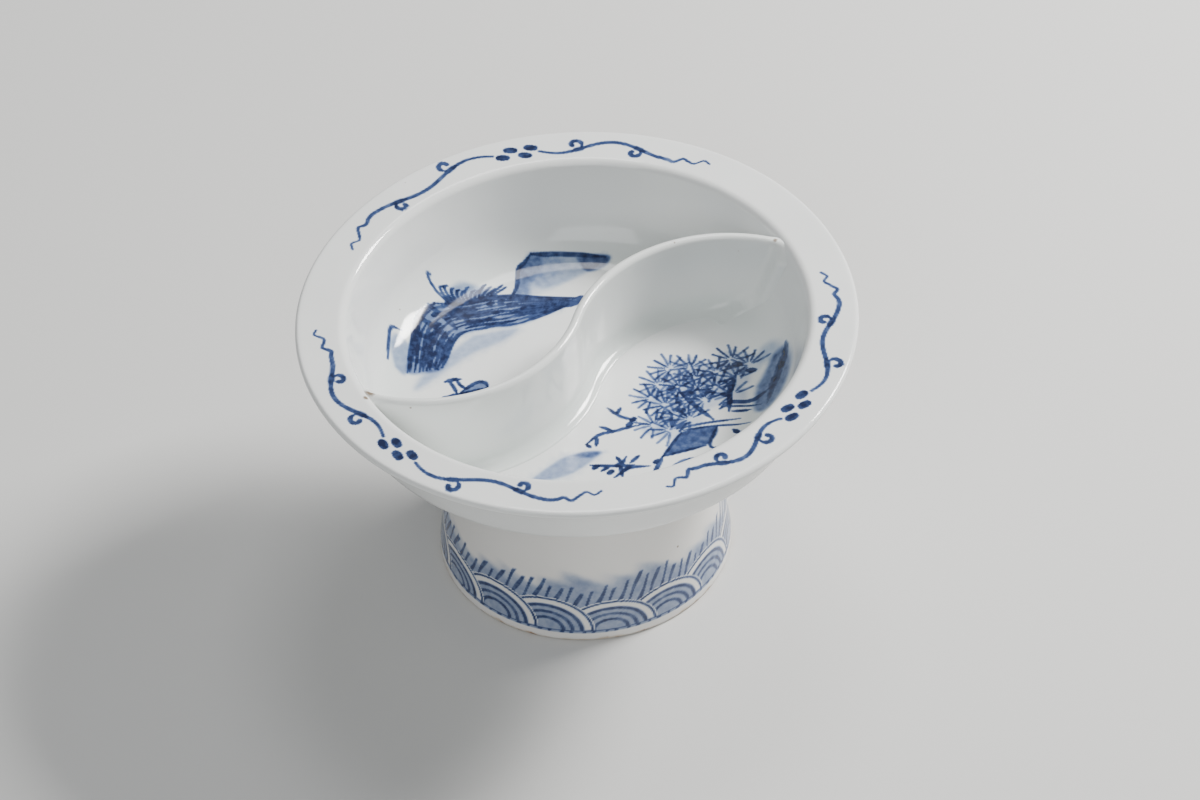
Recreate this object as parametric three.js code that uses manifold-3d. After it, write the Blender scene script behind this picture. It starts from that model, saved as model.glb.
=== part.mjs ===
// A footed condiment dish in blue and white porcelain.
// A thrown bowl with a broad flat flange stands on a tall thrown ring foot.
// A slab of clay bent to an S parts the well in two, so that it holds two condiments.
// The clay pieces are stuck together with slip, and each bed of slip is a piece of its own here.
// Millimetres, +Z up. The origin is the middle of the circle that the dish stands on,
// and +X runs along the chord of the S.
import * as THREE from 'three';
import { mergeVertices } from 'three/addons/utils/BufferGeometryUtils.js';
import Module from 'manifold-3d';

// Driving dimensions of the bowl
const rimRadius = 63;
const rimHeight = 70.7;
const lipRound = 0.95;
const wellRadius = 53.7;
const shoulderRound = 2.2;
const wallLean = THREE.MathUtils.degToRad(14);
const floorHeight = 48.7;
const floorFillet = 12;
const floorThickness = 4.8;
const wallThickness = 5.2;

// Driving dimensions of the foot
const footRadius = 34.1;
const footBareBand = 2.4;
const footFlareRadius = 32.9;
const footFlareHeight = 12;
const footNeckRadius = 31.2;
const footWall = 4.6;
const footBevel = 0.7;

// Driving dimensions of the S wall
const wallTop = 70.1;
const wallTopThickness = 2.3;
const wallBaseThickness = 3.4;
const lobeSagitta = 11.6;
const endOverrun = 1.1;
const bedDepth = 1; // how far below the floor the sections start before they are cut

// Slip beds and the clearance that every two touching pieces keep
const footSlipThickness = 1.0;
const footSlipBead = 0.9;
const wallSlipThickness = 0.6;
const wallSlipSpread = 2.4;
const wallSlipHeight = 1.6;
const seam = 0.3;

// Facets
const bowlSides = 96;
const footSides = 80;
const wallSteps = 56;
const curveSteps = 6;

const wasm = await Module();
wasm.setup();

// Colours, roughness and metalness of the finishes
const porcelain = (color) => new THREE.MeshStandardMaterial({ color, roughness: 0.18, metalness: 0 });
const glazedWhite = 0xdfe3e6;
const paintedBlue = 0x8f9fc0;
const slipWhite = 0xd3d6d6;

// A round stretch of an outline from angle a to angle b about a centre
function arc(centreR, centreZ, radius, a, b, steps = curveSteps) {
  const points = [];
  for (let i = 0; i <= steps; i += 1) {
    const angle = a + (b - a) * i / steps;
    points.push([centreR + radius * Math.cos(angle), centreZ + radius * Math.sin(angle)]);
  }
  return points;
}

// A smooth stretch of an outline through a few chosen points
function smooth(points, steps) {
  const curve = new THREE.SplineCurve(points.map(([r, z]) => new THREE.Vector2(r, z)));
  return curve.getPoints(steps).map((p) => [p.x, p.y]);
}

// A turned solid from an outline in radius and height
function turned(outline, sides) {
  const points = outline.map(([r, z]) => new THREE.Vector2(Math.max(r, 0), z));
  return new THREE.LatheGeometry(points, sides).rotateX(Math.PI / 2);
}

// A closed three.js geometry as a solid that can be cut and joined
function solid(geometry) {
  const shared = geometry.clone();
  shared.deleteAttribute('normal');
  shared.deleteAttribute('uv');
  const merged = mergeVertices(shared, 1e-4);
  const index = merged.index.array;
  const position = merged.attributes.position.array;
  const triangles = [];
  for (let i = 0; i < index.length; i += 3) {
    const [a, b, c] = [index[i], index[i + 1], index[i + 2]];
    if (a !== b && b !== c && c !== a) triangles.push(a, b, c);
  }
  const mesh = new wasm.Mesh({
    numProp: 3,
    vertProperties: new Float32Array(position),
    triVerts: new Uint32Array(triangles),
  });
  return new wasm.Manifold(mesh);
}

// A cut or joined solid back as a three.js geometry
function geometryOf(manifold) {
  const mesh = manifold.getMesh();
  const geometry = new THREE.BufferGeometry();
  geometry.setAttribute('position', new THREE.BufferAttribute(mesh.vertProperties, 3));
  geometry.setIndex(new THREE.BufferAttribute(mesh.triVerts, 1));
  geometry.computeVertexNormals();
  return geometry;
}

// The inside of the well, from the middle of its floor up to the flange.
// A positive inset gives the same surface moved into the open space of the well.
function wellOutline(inset = 0) {
  const lean = wallLean;
  const shoulderR = wellRadius;
  const shoulderZ = rimHeight - shoulderRound;
  const wallTopR = shoulderR - (shoulderRound + inset) * Math.cos(lean);
  const wallTopZ = shoulderZ + (shoulderRound + inset) * Math.sin(lean);
  const filletRadius = floorFillet - inset;
  const filletZ = floorHeight + floorFillet;
  const drop = wallTopZ - (filletZ - filletRadius * Math.sin(lean));
  const wallFootR = wallTopR - drop * Math.tan(lean);
  const filletR = wallFootR - filletRadius * Math.cos(lean);
  const bend = arc(filletR, filletZ, filletRadius, -Math.PI / 2, -lean);
  const shoulder = arc(shoulderR, shoulderZ, shoulderRound + inset, Math.PI - lean, Math.PI / 2);
  return [[0, floorHeight + inset], ...bend, ...shoulder];
}

// Radius of the well's surface at a height on its leaning wall
function wellRadiusAt(z) {
  const shoulderZ = rimHeight - shoulderRound;
  const topR = wellRadius - shoulderRound * Math.cos(wallLean);
  return topR - (shoulderZ - z) * Math.tan(wallLean);
}

// The underside of the bowl, from under the lip round the belly to the top of the foot
const underFloor = floorHeight - floorThickness;
const bellyZ = floorHeight + 6.5;
const bellyR = wellRadiusAt(bellyZ) + wallThickness;
const coveZ = rimHeight - 8.3;
const coveR = wellRadiusAt(coveZ) + wallThickness + 0.6;

function undersideOutline() {
  const lipZ = rimHeight - 2 * lipRound;
  const lipR = rimRadius - lipRound;
  return smooth([
    [footNeckRadius + 1.2, underFloor],
    [(footNeckRadius + bellyR) / 2 - 0.9, floorHeight - 1.6],
    [bellyR - 2.2, floorHeight + 3.2],
    [bellyR, bellyZ],
    [coveR, coveZ],
    [(coveR + lipR) / 2, (coveZ + lipZ) / 2 + 0.2],
    [lipR, lipZ],
  ], 16);
}

// The thrown bowl with its flange
function bowl() {
  const lip = arc(rimRadius - lipRound, rimHeight - lipRound, lipRound, -Math.PI / 2, Math.PI / 2);
  const well = wellOutline().reverse();
  const outline = [[0, underFloor], ...undersideOutline(), ...lip.slice(1), ...well];
  return turned(outline, bowlSides);
}

// The thrown ring foot, open underneath, with a bare edge that it stands on
const footTop = underFloor - footSlipThickness - 2 * seam;

function footRing() {
  const outside = smooth([
    [footRadius, footBevel],
    [footRadius - 0.15, footBareBand],
    [footFlareRadius, footFlareHeight],
    [footNeckRadius + 0.4, (footFlareHeight + footTop) / 2],
    [footNeckRadius, footTop],
  ], 12);
  const bore = footNeckRadius - footWall;
  const outline = [
    [footRadius - footBevel, 0],
    ...outside,
    [bore, footTop],
    [footRadius - footWall, footBevel],
    [footRadius - footWall + footBevel, 0],
    [footRadius - footBevel, 0],
  ];
  return turned(outline, footSides);
}

// The bed of slip between the foot and the bowl, squeezed out to a bead on the outside
function footSlip() {
  const bottom = footTop + seam;
  const top = bottom + footSlipThickness;
  const middle = (bottom + top) / 2;
  const bead = arc(footNeckRadius, middle, footSlipThickness / 2, -Math.PI / 2, Math.PI / 2, 4)
    .map(([r, z]) => [footNeckRadius + (r - footNeckRadius) * footSlipBead * 2, z]);
  const bore = footNeckRadius - footWall;
  return turned([[bore, bottom], ...bead, [bore, top], [bore, bottom]], footSides);
}

// The middle line of the S: two opposed arcs of equal chord that meet on the axis.
// Each runs on a little way past the chord's end, into the wall of the well.
const lobeChord = wellRadiusAt(rimHeight - shoulderRound);

function wallPath() {
  const halfChord = lobeChord / 2;
  const radius = (halfChord * halfChord + lobeSagitta * lobeSagitta) / (2 * lobeSagitta);
  const spread = Math.asin(halfChord / radius);
  const points = [];
  for (let i = 0; i <= wallSteps; i += 1) {
    const t = (2 * i / wallSteps - 1) * endOverrun;
    const angle = spread * (2 * Math.abs(t) - 1);
    const x = halfChord + radius * Math.sin(angle);
    const y = radius * Math.cos(angle) - (radius - lobeSagitta);
    points.push(new THREE.Vector3(Math.sign(t) * x, Math.sign(t) * y, 0));
  }
  return new THREE.CatmullRomCurve3(points);
}

// The section of the S wall: a slab that thickens downwards, with a rounded top.
// A path in a level plane turns a section's x to down and its y to the left.
// Spare is what the section is grown by on each side, to leave room for its neighbour.
function wallSection(spare = 0) {
  const base = floorHeight - bedDepth;
  const half = wallTopThickness / 2 + spare;
  const foot = wallBaseThickness / 2 + spare;
  const shoulder = wallTop - wallTopThickness / 2;
  const section = new THREE.Shape();
  section.moveTo(-base, -foot);
  section.lineTo(-base, foot);
  for (const [x, y] of arc(-shoulder, 0, half, Math.PI / 2, Math.PI * 1.5)) {
    section.lineTo(x, y);
  }
  section.closePath();
  return section;
}

// The section of a bed of slip under the S wall. It climbs the well's sides to the shoulder.
function bedSection(spread) {
  const half = wallBaseThickness / 2 + spread;
  const base = floorHeight - bedDepth;
  const top = rimHeight - shoulderRound;
  const section = new THREE.Shape();
  section.moveTo(-base, -half);
  section.lineTo(-base, half);
  section.lineTo(-top, half);
  section.lineTo(-top, -half);
  section.closePath();
  return section;
}

// A section carried along the S, as a solid
const path = wallPath();

function along(section) {
  return solid(new THREE.ExtrudeGeometry(section, { steps: wallSteps, extrudePath: path }));
}

// The open space of the well, less a margin that clears its surface
function wellSpace(margin) {
  const outline = wellOutline(margin);
  const top = wallTop + 5;
  return solid(turned([...outline, [wellRadius, top], [0, top]], bowlSides));
}

// The S wall, cut to the well with room for its bed of slip
function sWall() {
  return along(wallSection()).intersect(wellSpace(wallSlipThickness + 2 * seam));
}

// The slip that the S wall is bedded in: a thin wide layer on the floor and up the sides,
// and a thicker narrow one that fills the corner beside the wall
function wallSlip() {
  const wide = along(bedSection(wallSlipSpread)).subtract(wellSpace(seam + wallSlipThickness));
  const narrow = along(bedSection(wallSlipSpread / 2)).subtract(wellSpace(seam + wallSlipHeight));
  const place = along(wallSection(seam)).intersect(wellSpace(seam + wallSlipThickness));
  return wide.add(narrow).intersect(wellSpace(seam)).subtract(place);
}

// The whole dish, from the foot up
function piece(name, geometry, color) {
  const mesh = new THREE.Mesh(geometry, porcelain(color));
  mesh.name = name;
  return mesh;
}

const dish = new THREE.Group();
dish.name = 'condiment_dish';
dish.add(piece('foot_ring', footRing(), paintedBlue));
dish.add(piece('foot_slip', footSlip(), slipWhite));
dish.add(piece('bowl', bowl(), glazedWhite));
dish.add(piece('wall_slip', geometryOf(wallSlip()), slipWhite));
dish.add(piece('s_wall', geometryOf(sWall()), glazedWhite));

export default dish;
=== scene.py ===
# %% [markdown]
# # A footed condiment dish in blue and white porcelain
# The dish is one fired ceramic: a thrown bowl with a flat flange, a slab wall bent to an S that
# parts its well in two, and a tall ring foot. The solids that are loaded first give its true shape
# with few faces. In the cells below each clay piece gets a finer surface on the same sizes, its
# cobalt painting and its glaze.

# %% Load the solids
import math
import bmesh
import bpy
import numpy as np
from mathutils import Matrix, Vector
from mathutils.geometry import delaunay_2d_cdt


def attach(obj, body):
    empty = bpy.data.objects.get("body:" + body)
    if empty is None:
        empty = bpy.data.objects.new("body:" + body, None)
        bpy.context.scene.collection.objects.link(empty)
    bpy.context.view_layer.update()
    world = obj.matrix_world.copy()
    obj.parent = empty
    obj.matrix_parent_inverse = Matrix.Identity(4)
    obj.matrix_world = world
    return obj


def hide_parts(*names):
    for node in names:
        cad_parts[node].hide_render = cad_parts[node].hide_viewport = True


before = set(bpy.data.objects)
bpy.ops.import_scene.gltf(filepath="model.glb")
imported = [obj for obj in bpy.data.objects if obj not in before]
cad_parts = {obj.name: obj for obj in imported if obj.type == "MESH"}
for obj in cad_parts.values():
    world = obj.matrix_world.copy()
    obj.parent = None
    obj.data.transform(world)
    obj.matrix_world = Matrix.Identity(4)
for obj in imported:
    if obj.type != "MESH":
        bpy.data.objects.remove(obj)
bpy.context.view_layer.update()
MM = 0.001

# %% [markdown]
# ## The sizes of the dish
# These are the sizes that the solids were made from, in millimetres, so every finer surface lies
# on the solid that it stands for. R is a radius from the axis, and Z is a height above the table.

# %% Sizes in millimetres
RIM_R = 63.0
RIM_Z = 70.7
LIP = 0.95  # radius of the round edge
WELL_R = 53.7  # where the flange begins
SHOULDER = 2.2  # radius of the round between side and flange
LEAN = math.radians(14)
FLOOR_Z = 48.7
BEND = 12.0  # radius of the round between floor and side
FLOOR_THICKNESS = 4.8
SIDE_THICKNESS = 5.2
UNDER_Z = FLOOR_Z - FLOOR_THICKNESS

WALL_TOP_Z = 70.1
WALL_TOP_HALF = 1.15
WALL_BASE_HALF = 1.7
LOBE_BULGE = 11.6

FOOT_R = 34.1
BARE_BAND_Z = 2.4
FLARE_R = 32.9
FLARE_Z = 12.0
NECK_R = 31.2
FOOT_WALL = 4.6
print("the dish is", 2 * RIM_R, "mm across and", RIM_Z, "mm high")

# %% [markdown]
# ## The outline of the well
# A thrown bowl is the same all round, so a height for each distance from the axis describes it: a
# flat floor, a round bend, a side that leans outwards, a round shoulder, and the flat flange. As a
# formula it can be asked for at any point, which a list of points could not.

# %% The well as a formula
side_top_r = WELL_R - SHOULDER * math.cos(LEAN)
side_top_z = RIM_Z - SHOULDER + SHOULDER * math.sin(LEAN)
shoulder_z = RIM_Z - SHOULDER
bend_z = FLOOR_Z + BEND
side_low_z = bend_z - BEND * math.sin(LEAN)
side_low_r = side_top_r - (side_top_z - side_low_z) * math.tan(LEAN)
bend_r = side_low_r - BEND * math.cos(LEAN)


def well_height(r):
    """Height of the upper surface of the bowl at a distance from the axis."""
    r = np.asarray(r, float)
    z = np.full(r.shape, FLOOR_Z)
    bend = (r > bend_r) & (r <= side_low_r)
    z[bend] = bend_z - np.sqrt(BEND ** 2 - (r[bend] - bend_r) ** 2)
    side = (r > side_low_r) & (r <= side_top_r)
    z[side] = side_low_z + (r[side] - side_low_r) / math.tan(LEAN)
    shoulder = (r > side_top_r) & (r <= WELL_R)
    z[shoulder] = shoulder_z + np.sqrt(np.maximum(SHOULDER ** 2 - (WELL_R - r[shoulder]) ** 2, 0))
    z[r > WELL_R] = RIM_Z
    return z


def well_edge(z):
    """Distance of the well's surface from the axis at a height."""
    side = side_top_r - (side_top_z - z) * math.tan(LEAN)
    drop = bend_z - np.maximum(z, FLOOR_Z)
    bend = bend_r + np.sqrt(np.maximum(BEND ** 2 - drop ** 2, 0))
    return np.where(z < side_low_z, bend, side)


print("the floor is flat to", round(bend_r, 1), "mm, and the side leans from", round(side_low_r, 1))

# %% [markdown]
# ## The camera
# The photograph looks down at the dish by 43 degrees, a little past the near end of the S. A long
# lens keeps the ellipses of rim and foot alike in shape. The camera stands where both of them fall
# on their places in the photograph, and it is turned until the middle of the rim meets its pixel.

# %% Where the camera stands
LENS = 135.0
SENSOR = 36.0
CLIP_NEAR = 0.05
CLIP_FAR = 20
VIEW_TURN = math.radians(-25.8)
VIEW_DOWN = math.radians(42.902)
VIEW_ROLL = math.radians(-2.339)
DISTANCE = 1.0059
RIM_CENTRE = Vector((0, 0, 0.06975))
RIM_PIXEL = (577.05, 316.46)
FRAME_PIXELS = (1200, 800)


def view_axes():
    """Right, up and ahead of a camera that looks straight at the middle of the rim."""
    right = Vector((math.cos(VIEW_TURN), math.sin(VIEW_TURN), 0))
    level = Vector((-math.sin(VIEW_TURN), math.cos(VIEW_TURN), 0))
    ahead = level * math.cos(VIEW_DOWN) - Vector((0, 0, math.sin(VIEW_DOWN)))
    up = right.cross(ahead)
    c, s = math.cos(VIEW_ROLL), math.sin(VIEW_ROLL)
    return c * right + s * up, c * up - s * right, ahead


# %% Set the camera up
def aim_camera():
    """Turns the camera aside until the middle of the rim falls on its pixel."""
    right, up, ahead = view_axes()
    pixels_to_lens = LENS / SENSOR * FRAME_PIXELS[0]
    aside = math.atan((RIM_PIXEL[0] - FRAME_PIXELS[0] / 2) / pixels_to_lens)
    upwards = math.atan((RIM_PIXEL[1] - FRAME_PIXELS[1] / 2) / pixels_to_lens)
    x_axis = math.cos(aside) * right + math.sin(aside) * ahead
    turned = -math.sin(aside) * right + math.cos(aside) * ahead
    y_axis = math.cos(upwards) * up - math.sin(upwards) * turned
    forward = math.sin(upwards) * up + math.cos(upwards) * turned

    data = bpy.data.cameras.new("camera")
    data.lens = LENS
    data.sensor_width = SENSOR
    data.clip_start = CLIP_NEAR
    data.clip_end = CLIP_FAR
    camera = bpy.data.objects.new("camera", data)
    facing = Matrix((x_axis, y_axis, -forward)).transposed().to_4x4()
    camera.matrix_world = Matrix.Translation(RIM_CENTRE - ahead * DISTANCE) @ facing
    bpy.context.scene.collection.objects.link(camera)
    bpy.context.scene.camera = camera
    return camera


camera = aim_camera()
print("the camera is at", [round(v, 3) for v in camera.matrix_world.translation])

# %% [markdown]
# ## The floor
# The dish stands on a wide sheet of pale matt paper, as on a studio table. It is the stage and no
# part of the dish.

# %% Lay the floor
PAPER_HALF = 3.0
PAPER_COLOUR = (0.62, 0.62, 0.61, 1)
PAPER_ROUGHNESS = 0.9


def material(name):
    """A new material with its node tree and its shader."""
    made = bpy.data.materials.new(name)
    made.use_nodes = True
    return made, made.node_tree, made.node_tree.nodes["Principled BSDF"]


def lay_floor():
    paper, _, shader = material("pale_paper")
    shader.inputs["Base Color"].default_value = PAPER_COLOUR
    shader.inputs["Roughness"].default_value = PAPER_ROUGHNESS
    corners = [(x * PAPER_HALF, y * PAPER_HALF, 0) for x, y in ((-1, -1), (1, -1), (1, 1), (-1, 1))]
    mesh = bpy.data.meshes.new("floor")
    mesh.from_pydata(corners, [], [(0, 1, 2, 3)])
    mesh.materials.append(paper)
    floor = bpy.data.objects.new("floor", mesh)
    bpy.context.scene.collection.objects.link(floor)
    return floor


floor = lay_floor()
print("the floor is", floor.dimensions.x, "m wide")

# %% [markdown]
# ## The lights
# In the photograph the shadow falls to the left, so the main lamp stands far to the right and
# behind the dish. A wide weak lamp in front keeps the near side readable, and one above brightens
# the floor of the well. Glaze mirrors the lamps, so their size sets how long a highlight is.

# %% Hang the lights
ROOM_COLOUR = (0.78, 0.8, 0.82, 1)
ROOM_STRENGTH = 0.3
LAMP_TARGET = Vector((0, 0, 0.05))


def hang_lamp(name, place, size, power, colour=(1, 1, 1)):
    """A soft square lamp. Its place is right, ahead and up as the camera sees it."""
    data = bpy.data.lights.new(name, "AREA")
    data.shape = "SQUARE"
    data.size = size
    data.energy = power
    data.color = colour
    lamp = bpy.data.objects.new(name, data)
    right, ahead, up = place
    c, s = math.cos(VIEW_TURN), math.sin(VIEW_TURN)
    lamp.location = (right * c - ahead * s, right * s + ahead * c, up)
    lamp.rotation_euler = (LAMP_TARGET - lamp.location).to_track_quat("-Z", "Y").to_euler()
    bpy.context.scene.collection.objects.link(lamp)


hang_lamp("key", (0.62, 0.34, 0.62), 0.26, 17.0, (1.0, 0.985, 0.96))
hang_lamp("fill", (-0.2, -1.0, 0.8), 0.8, 6.0, (0.97, 0.99, 1.0))
hang_lamp("top", (0.1, 0.5, 1.1), 0.4, 3.6)
room = bpy.data.worlds.new("soft_room")
room.use_nodes = True
background = room.node_tree.nodes["Background"]
background.inputs["Color"].default_value = ROOM_COLOUR
background.inputs["Strength"].default_value = ROOM_STRENGTH
bpy.context.scene.world = room
print("lamps:", [light.name for light in bpy.data.lights])

# %% [markdown]
# ## Strokes and washes
# Cobalt is painted on the dry clay with a soft brush and sinks under the glaze. There are two kinds
# of mark: a stroke, which is a line with a width that swells and tapers, and a wash, which is a
# filled outline with a soft edge. Both are kept as numbers, so they stay sharp from near by.

# %% Marks of the brush
def smooth_line(points, steps=8):
    """A bent line through a few points, as many short straight ones."""
    p = np.array(points, float)
    if len(p) < 3:
        return p
    p = np.vstack([2 * p[0] - p[1], p, 2 * p[-1] - p[-2]])
    t = np.linspace(0, 1, steps, endpoint=False)[:, None]
    parts = []
    for a, b, c, d in zip(p[:-3], p[1:-2], p[2:-1], p[3:]):
        parts.append(0.5 * (2 * b + (c - a) * t + (2 * a - 5 * b + 4 * c - d) * t ** 2
                            + (3 * b - 3 * c + d - a) * t ** 3))
    return np.vstack([*parts, p[-2:-1]])


def evenly(points, count):
    """A bent line through a few points, as points at even distances along it."""
    line = smooth_line(points)
    walk = np.r_[0, np.cumsum(np.hypot(*np.diff(line, axis=0).T))]
    even = np.linspace(0, walk[-1], count)
    return np.stack([np.interp(even, walk, line[:, 0]), np.interp(even, walk, line[:, 1])], 1)


def stroke(points, width, dark=0.8, soft=0.18, taper=(0.5, 0.4)):
    """One pull of the brush. Dark goes from 0 to 1, and taper is the share of width at each end."""
    return {"line": smooth_line(points), "width": width, "dark": dark, "soft": soft, "taper": taper,
            "filled": False}


def wash(outline, dark=0.3, soft=0.8, fade=None):
    """A filled outline. Fade is a direction along which it grows paler."""
    line = smooth_line(list(outline) + [outline[0]], 6)
    return {"line": line, "width": 0, "dark": dark, "soft": soft, "fade": fade, "filled": True}


def strokes(*pulls):
    """Several strokes at once, each given as points, width and darkness."""
    return [stroke(points, width, dark) for points, width, dark in pulls]


print("a stroke keeps", list(stroke([(0, 0), (1, 0)], 1)))

# %% [markdown]
# ## How much cobalt lies at a point
# The glaze wants one number at each point of the surface: how much pigment lies there. It comes
# from the distance to every mark. Where marks cross, each one lets through only a share of the
# white, so crossings are darker, as on the clay.

# %% Distances
def nearest(points, line):
    """Distance from each point to a line, and how far along the line its nearest place is."""
    best = np.full(len(points), 1e9)
    along = np.zeros(len(points))
    for i, (a, b) in enumerate(zip(line[:-1], line[1:])):
        step = b - a
        t = np.clip((points - a) @ step / max(step @ step, 1e-12), 0, 1)
        gap = np.hypot(*(points - a - t[:, None] * step).T)
        closer = gap < best
        best[closer] = gap[closer]
        along[closer] = (i + t[closer]) / (len(line) - 1)
    return best, along


def inside(points, line):
    """Which points lie within a closed line."""
    within = np.zeros(len(points), bool)
    x, y = points.T
    for (ax, ay), (bx, by) in zip(line[:-1], line[1:]):
        cross = (ay > y) != (by > y)
        within[cross] ^= x[cross] < (bx - ax) * (y[cross] - ay) / (by - ay) + ax
    return within


def soft_step(x):
    """Rises from 0 to 1 while x does, without a corner at either end."""
    x = np.clip(x, 0, 1)
    return x * x * (3 - 2 * x)


print("the soft step at a quarter:", soft_step(0.25))

# %% Ink
SWELL_SHARE = 0.25
TAPER_SHARE = 0.3
FADED = 0.85
FULLEST = 0.97
LOOK_ROUND = 1.0


def stroke_ink(mark, gap, along):
    """Ink of a stroke, and the distance to its edge."""
    start, end = mark["taper"]
    swell = start + (1 - start) * soft_step(along / SWELL_SHARE)
    swell *= end + (1 - end) * soft_step((1 - along) / TAPER_SHARE)
    gap = gap - mark["width"] / 2 * swell
    return soft_step(0.5 - gap / mark["soft"]), gap


def wash_ink(mark, points, gap):
    """Ink of a wash, and the distance to its edge."""
    gap = np.where(inside(points, mark["line"]), -gap, gap)
    ink = soft_step(0.5 - gap / mark["soft"])
    if mark["fade"] is not None:
        way = np.array(mark["fade"], float) / np.hypot(*mark["fade"])
        run, span = points @ way, mark["line"] @ way
        ink *= 1 - FADED * np.clip((run - span.min()) / np.ptp(span), 0, 1)
    return ink, gap


def paint(points, marks):
    """How much cobalt lies at each point, and its distance to the edge of the nearest mark."""
    white = np.ones(len(points))
    reach = np.full(len(points), 1e9)
    for mark in marks:
        margin = mark["width"] / 2 + mark["soft"] + LOOK_ROUND
        low, high = mark["line"].min(0) - margin, mark["line"].max(0) + margin
        near = np.flatnonzero(((points >= low) & (points <= high)).all(1))
        if not len(near):
            continue
        gap, along = nearest(points[near], mark["line"])
        if mark["filled"]:
            ink, gap = wash_ink(mark, points[near], gap)
        else:
            ink, gap = stroke_ink(mark, gap, along)
        white[near] *= 1 - np.clip(ink * mark["dark"], 0, FULLEST)
        reach[near] = np.minimum(reach[near], gap)
    return 1 - white, reach


print("ink on a stroke:", paint(np.zeros((1, 2)), [stroke([(-9, 0), (9, 0)], 1.0)])[0])

# %% [markdown]
# ## The scroll on the flange
# Three sprays run round the flange. Each has four dots in its middle and a tendril to either side,
# a wavy line that throws off two small curls and ends in a trembling tail. A spray is drawn along
# an arc, with lengths in degrees, so one pattern serves for all three.

# %% Dots and tendrils
SCROLL_R = 57.2
SPRAYS = [(77, 51, 46), (-60, 45, 38), (-160, 48, 44)]
DOTS = ((-3.7, 1.0), (-1.9, -1.3), (1.0, 1.3), (3.4, -0.7))
CURLS = ((0.26, 2.5), (0.6, 2.2))
TENDRIL_START = 5.5
TENDRIL_STEPS = 26


def on_flange(angle, offset):
    """A point on the flange, from an angle in degrees and an offset outwards."""
    a, r = math.radians(angle), SCROLL_R + offset
    return (r * math.cos(a), r * math.sin(a))


def dots(centre):
    """Four lozenge dots, each one short full pull and a darker one within it."""
    marks = []
    for turn, out in DOTS:
        ends = [on_flange(centre + turn - 0.7, out - 0.25), on_flange(centre + turn + 0.7, out + 0.25)]
        marks.append(stroke(ends, 2.15, 0.93, taper=(0.9, 0.9)))
        marks.append(stroke(ends, 0.8, 0.5, taper=(1, 1)))
    return marks


def curl(start, heading, bend, size):
    """A hook that turns ever tighter away from the tendril."""
    x, y = start
    line = []
    for k in range(9):
        a = heading + bend * (0.5 + k * 0.55)
        r = size * (1 - k * 0.075)
        x, y = x + 0.4 * r * math.cos(a), y + 0.4 * r * math.sin(a)
        line.append((x, y))
    return stroke(line, 1.25, 0.85, taper=(0.45, 1.0))


def tendril(centre, length, side):
    """A wavy line from the dots to its trembling tail, with its curls."""
    line = []
    for i in range(TENDRIL_STEPS + 1):
        t = i / TENDRIL_STEPS
        wave = 2.1 * math.sin(2 * math.pi * (t * 1.6 + 0.05)) * (1 - 0.4 * t)
        tremble = 0.85 * math.sin(2 * math.pi * t * 8.5) * soft_step((t - 0.7) / 0.15)
        angle = TENDRIL_START + (length - TENDRIL_START) * t
        line.append(on_flange(centre + side * angle, side * wave + tremble))
    marks = [stroke(line, 1.15, 0.8, taper=(0.7, 0.5))]
    for at, size in CURLS:
        i = int(at * TENDRIL_STEPS)
        (x, y), (next_x, next_y) = line[i], line[i + 1]
        bend = -side if at < 0.5 else side
        marks.append(curl(line[i], math.atan2(next_y - y, next_x - x), bend, size))
        marks.append(stroke(line[i - 1:i + 2], 1.6, 0.65, taper=(0.4, 0.4)))
    return marks


# %% Paint the sprays
scroll = []
for centre, length_ahead, length_back in SPRAYS:
    scroll += dots(centre) + tendril(centre, length_ahead, 1) + tendril(centre, length_back, -1)
print("marks in the scroll:", len(scroll))

# %% [markdown]
# ## The far compartment
# The floor of the well carries a river landscape, a stock motif of the trade. On the far side of
# the S lie a distant hill in wash, a rocky headland with a tuft of grass, and a small boat. The
# outlines go down first, then the washes. Coordinates are millimetres in the plan of the dish.

# %% Distant hill
rng = np.random.default_rng(7)
hill_left = [(-0.6, 33.6), (2.4, 36.4), (5.0, 40.8), (6.8, 41.6), (9.4, 42.8)]
hill_top = [(9.4, 42.8), (12.4, 41.4), (15.1, 40.2), (20.4, 37.2), (24.6, 34.2)]
hill_foot = [(24.6, 33.0), (19.4, 32.2), (12.4, 31.6), (6.6, 31.0)]
hill_body = [(5.0, 38.6), (12.4, 39.6), (22.0, 34.6), (19.4, 33.0), (8.0, 32.4)]
hill_shade = [(11.0, 40.4), (5.4, 35.6), (3.4, 32.4)]
hill_tip = [(18.5, 37.4), (22.0, 36.4), (25.6, 33.9), (23.0, 32.2), (19.0, 33.0)]
hill = [wash(hill_left + hill_top[1:] + hill_foot, 0.55, 1.6, fade=(0.1, -1)),
        wash(hill_body, 0.2, 2.0), wash(hill_left + hill_shade, 0.4, 1.8), wash(hill_tip, 0.7, 1.0)]
hill += strokes((hill_left, 1.1, 0.78), (hill_top, 1.15, 0.78))
print("marks in the hill:", len(hill))

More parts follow.
